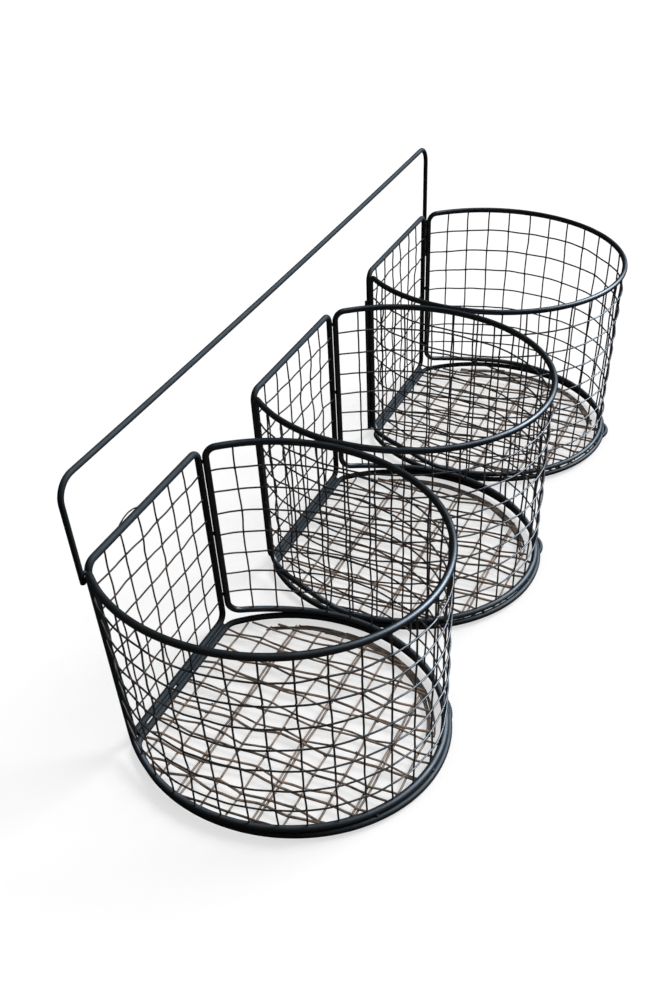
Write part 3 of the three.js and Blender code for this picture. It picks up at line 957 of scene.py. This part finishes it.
class BASKETRACK_OT_stage(bpy.types.Operator):
    """Makes the pale floor, the soft light and the camera"""

    bl_idname = "basketrack.stage"
    bl_label = "Stage"

    def execute(self, context):
        scene = context.scene
        scene.view_settings.view_transform = "Standard"
        mesh = bpy.data.meshes.new("pale_floor")
        half, drop = 6.0, -2 * MM  # the rings' shadows stand clear of the rings
        corners = ((-half, -half), (half, -half), (half, half), (-half, half))
        mesh.from_pydata([(x, y, drop) for x, y in corners], [], [(0, 1, 2, 3)])
        mesh.materials.append(self.paper(scene.finish_colours.floor))
        floor = add_object("pale_floor", mesh)
        self.world(scene)
        sky = (0.72, 0.86, 1.0)
        self.sun("window", 3.0, 30, WHITE[:3]).visible_glossy = False
        self.sun("window sheen", 3.0, 30, sky).visible_diffuse = False  # bluer, on the wires only
        self.sun("window glow", 1.5, 65, sky).visible_diffuse = False
        camera = bpy.data.cameras.new("camera")
        camera.lens = 36.94
        camera.shift_y = 0.14
        camera.clip_start, camera.clip_end = 0.01, 50
        holder = add_object("camera", camera)
        holder.location = (-0.59431, -0.22954, 0.51378)
        holder.rotation_euler = [math.radians(angle) for angle in (46.057, 2.460, -65.035)]
        scene.camera = holder
        return {"FINISHED"}

    @staticmethod
    def sun(name, energy, across, colour):
        """A soft light from the right of the picture, so many degrees across."""
        lamp = bpy.data.lights.new(name, "SUN")
        lamp.energy, lamp.angle, lamp.color = energy, math.radians(across), colour
        holder, direction = add_object(name, lamp), Vector((-0.60, 0.46, -0.655))
        holder.rotation_euler = direction.to_track_quat("-Z", "Y").to_euler()
        return holder

    @staticmethod
    def paper(colour):
        """Matt white paper: white to the eye, with a soft shadow, and dim in reflections."""
        material = bpy.data.materials.new("matt white paper")
        material.use_nodes = True
        tree = material.node_tree
        tree.nodes.clear()
        matt = add_node(tree, "ShaderNodeBsdfDiffuse", {"Color": (*colour, 1.0)})[0]
        lift = add_node(tree, "ShaderNodeEmission", {"Color": WHITE, "Strength": 0.57})[0]
        seen = add_node(tree, "ShaderNodeAddShader", (matt, lift))[0]
        dim = add_node(tree, "ShaderNodeBsdfDiffuse", {"Color": (0.022, 0.022, 0.022, 1.0)})[0]
        add_node(tree, "ShaderNodeOutputMaterial", {"Surface": by_ray(tree, matt, seen, dim)})
        return material

    @staticmethod
    def world(scene):
        """Soft even light from all round, seen as plain white, and dim in reflections."""
        world = bpy.data.worlds.new("studio")
        scene.world = world
        world.use_nodes = True
        tree = world.node_tree
        tree.nodes.clear()
        soft, white, dim = (
            add_node(tree, "ShaderNodeBackground", {"Color": colour, "Strength": strength})[0]
            for colour, strength in ((WHITE, 0.62), (WHITE, 1.0), ((1.0, 0.96, 0.92, 1.0), 0.02)))
        add_node(tree, "ShaderNodeOutputWorld", {"Surface": by_ray(tree, soft, white, dim)})


class BASKETRACK_PT_panel(bpy.types.Panel):
    """Lists the basket rack's pieces, sizes and colours"""

    bl_idname = "BASKETRACK_PT_panel"
    bl_label = "Basket Rack"
    bl_space_type = "VIEW_3D"
    bl_region_type = "UI"
    bl_category = "Basket Rack"

    def draw(self, context):
        for operator in OPERATORS:
            self.layout.operator(operator.bl_idname)
        for name in GROUPS:
            box, group = self.layout.box(), getattr(context.scene, name)
            for label in group.__annotations__:
                box.prop(group, label)


GROUPS = {"basket_sizes": BasketSizes, "wire_sizes": WireSizes, "finish_colours": FinishColours}
OPERATORS = (
    BASKETRACK_OT_back_frames,
    BASKETRACK_OT_front_frames,
    BASKETRACK_OT_base_rings,
    BASKETRACK_OT_wall_meshes,
    BASKETRACK_OT_base_meshes,
    BASKETRACK_OT_hanger,
    BASKETRACK_OT_stage,
)
CLASSES = (*GROUPS.values(), *OPERATORS, BASKETRACK_PT_panel)


def register():
    for cls in CLASSES:
        bpy.utils.register_class(cls)
    for name, group in GROUPS.items():
        setattr(bpy.types.Scene, name, bpy.props.PointerProperty(type=group))


def unregister():
    for name in GROUPS:
        delattr(bpy.types.Scene, name)
    for cls in reversed(CLASSES):
        bpy.utils.unregister_class(cls)


def main():
    register()
    bpy.ops.basketrack.back_frames()
    bpy.ops.basketrack.front_frames()
    bpy.ops.basketrack.base_rings()
    bpy.ops.basketrack.wall_meshes()
    bpy.ops.basketrack.base_meshes()
    bpy.ops.basketrack.hanger()
    bpy.ops.basketrack.stage()


if __name__ == "__main__":
    main()
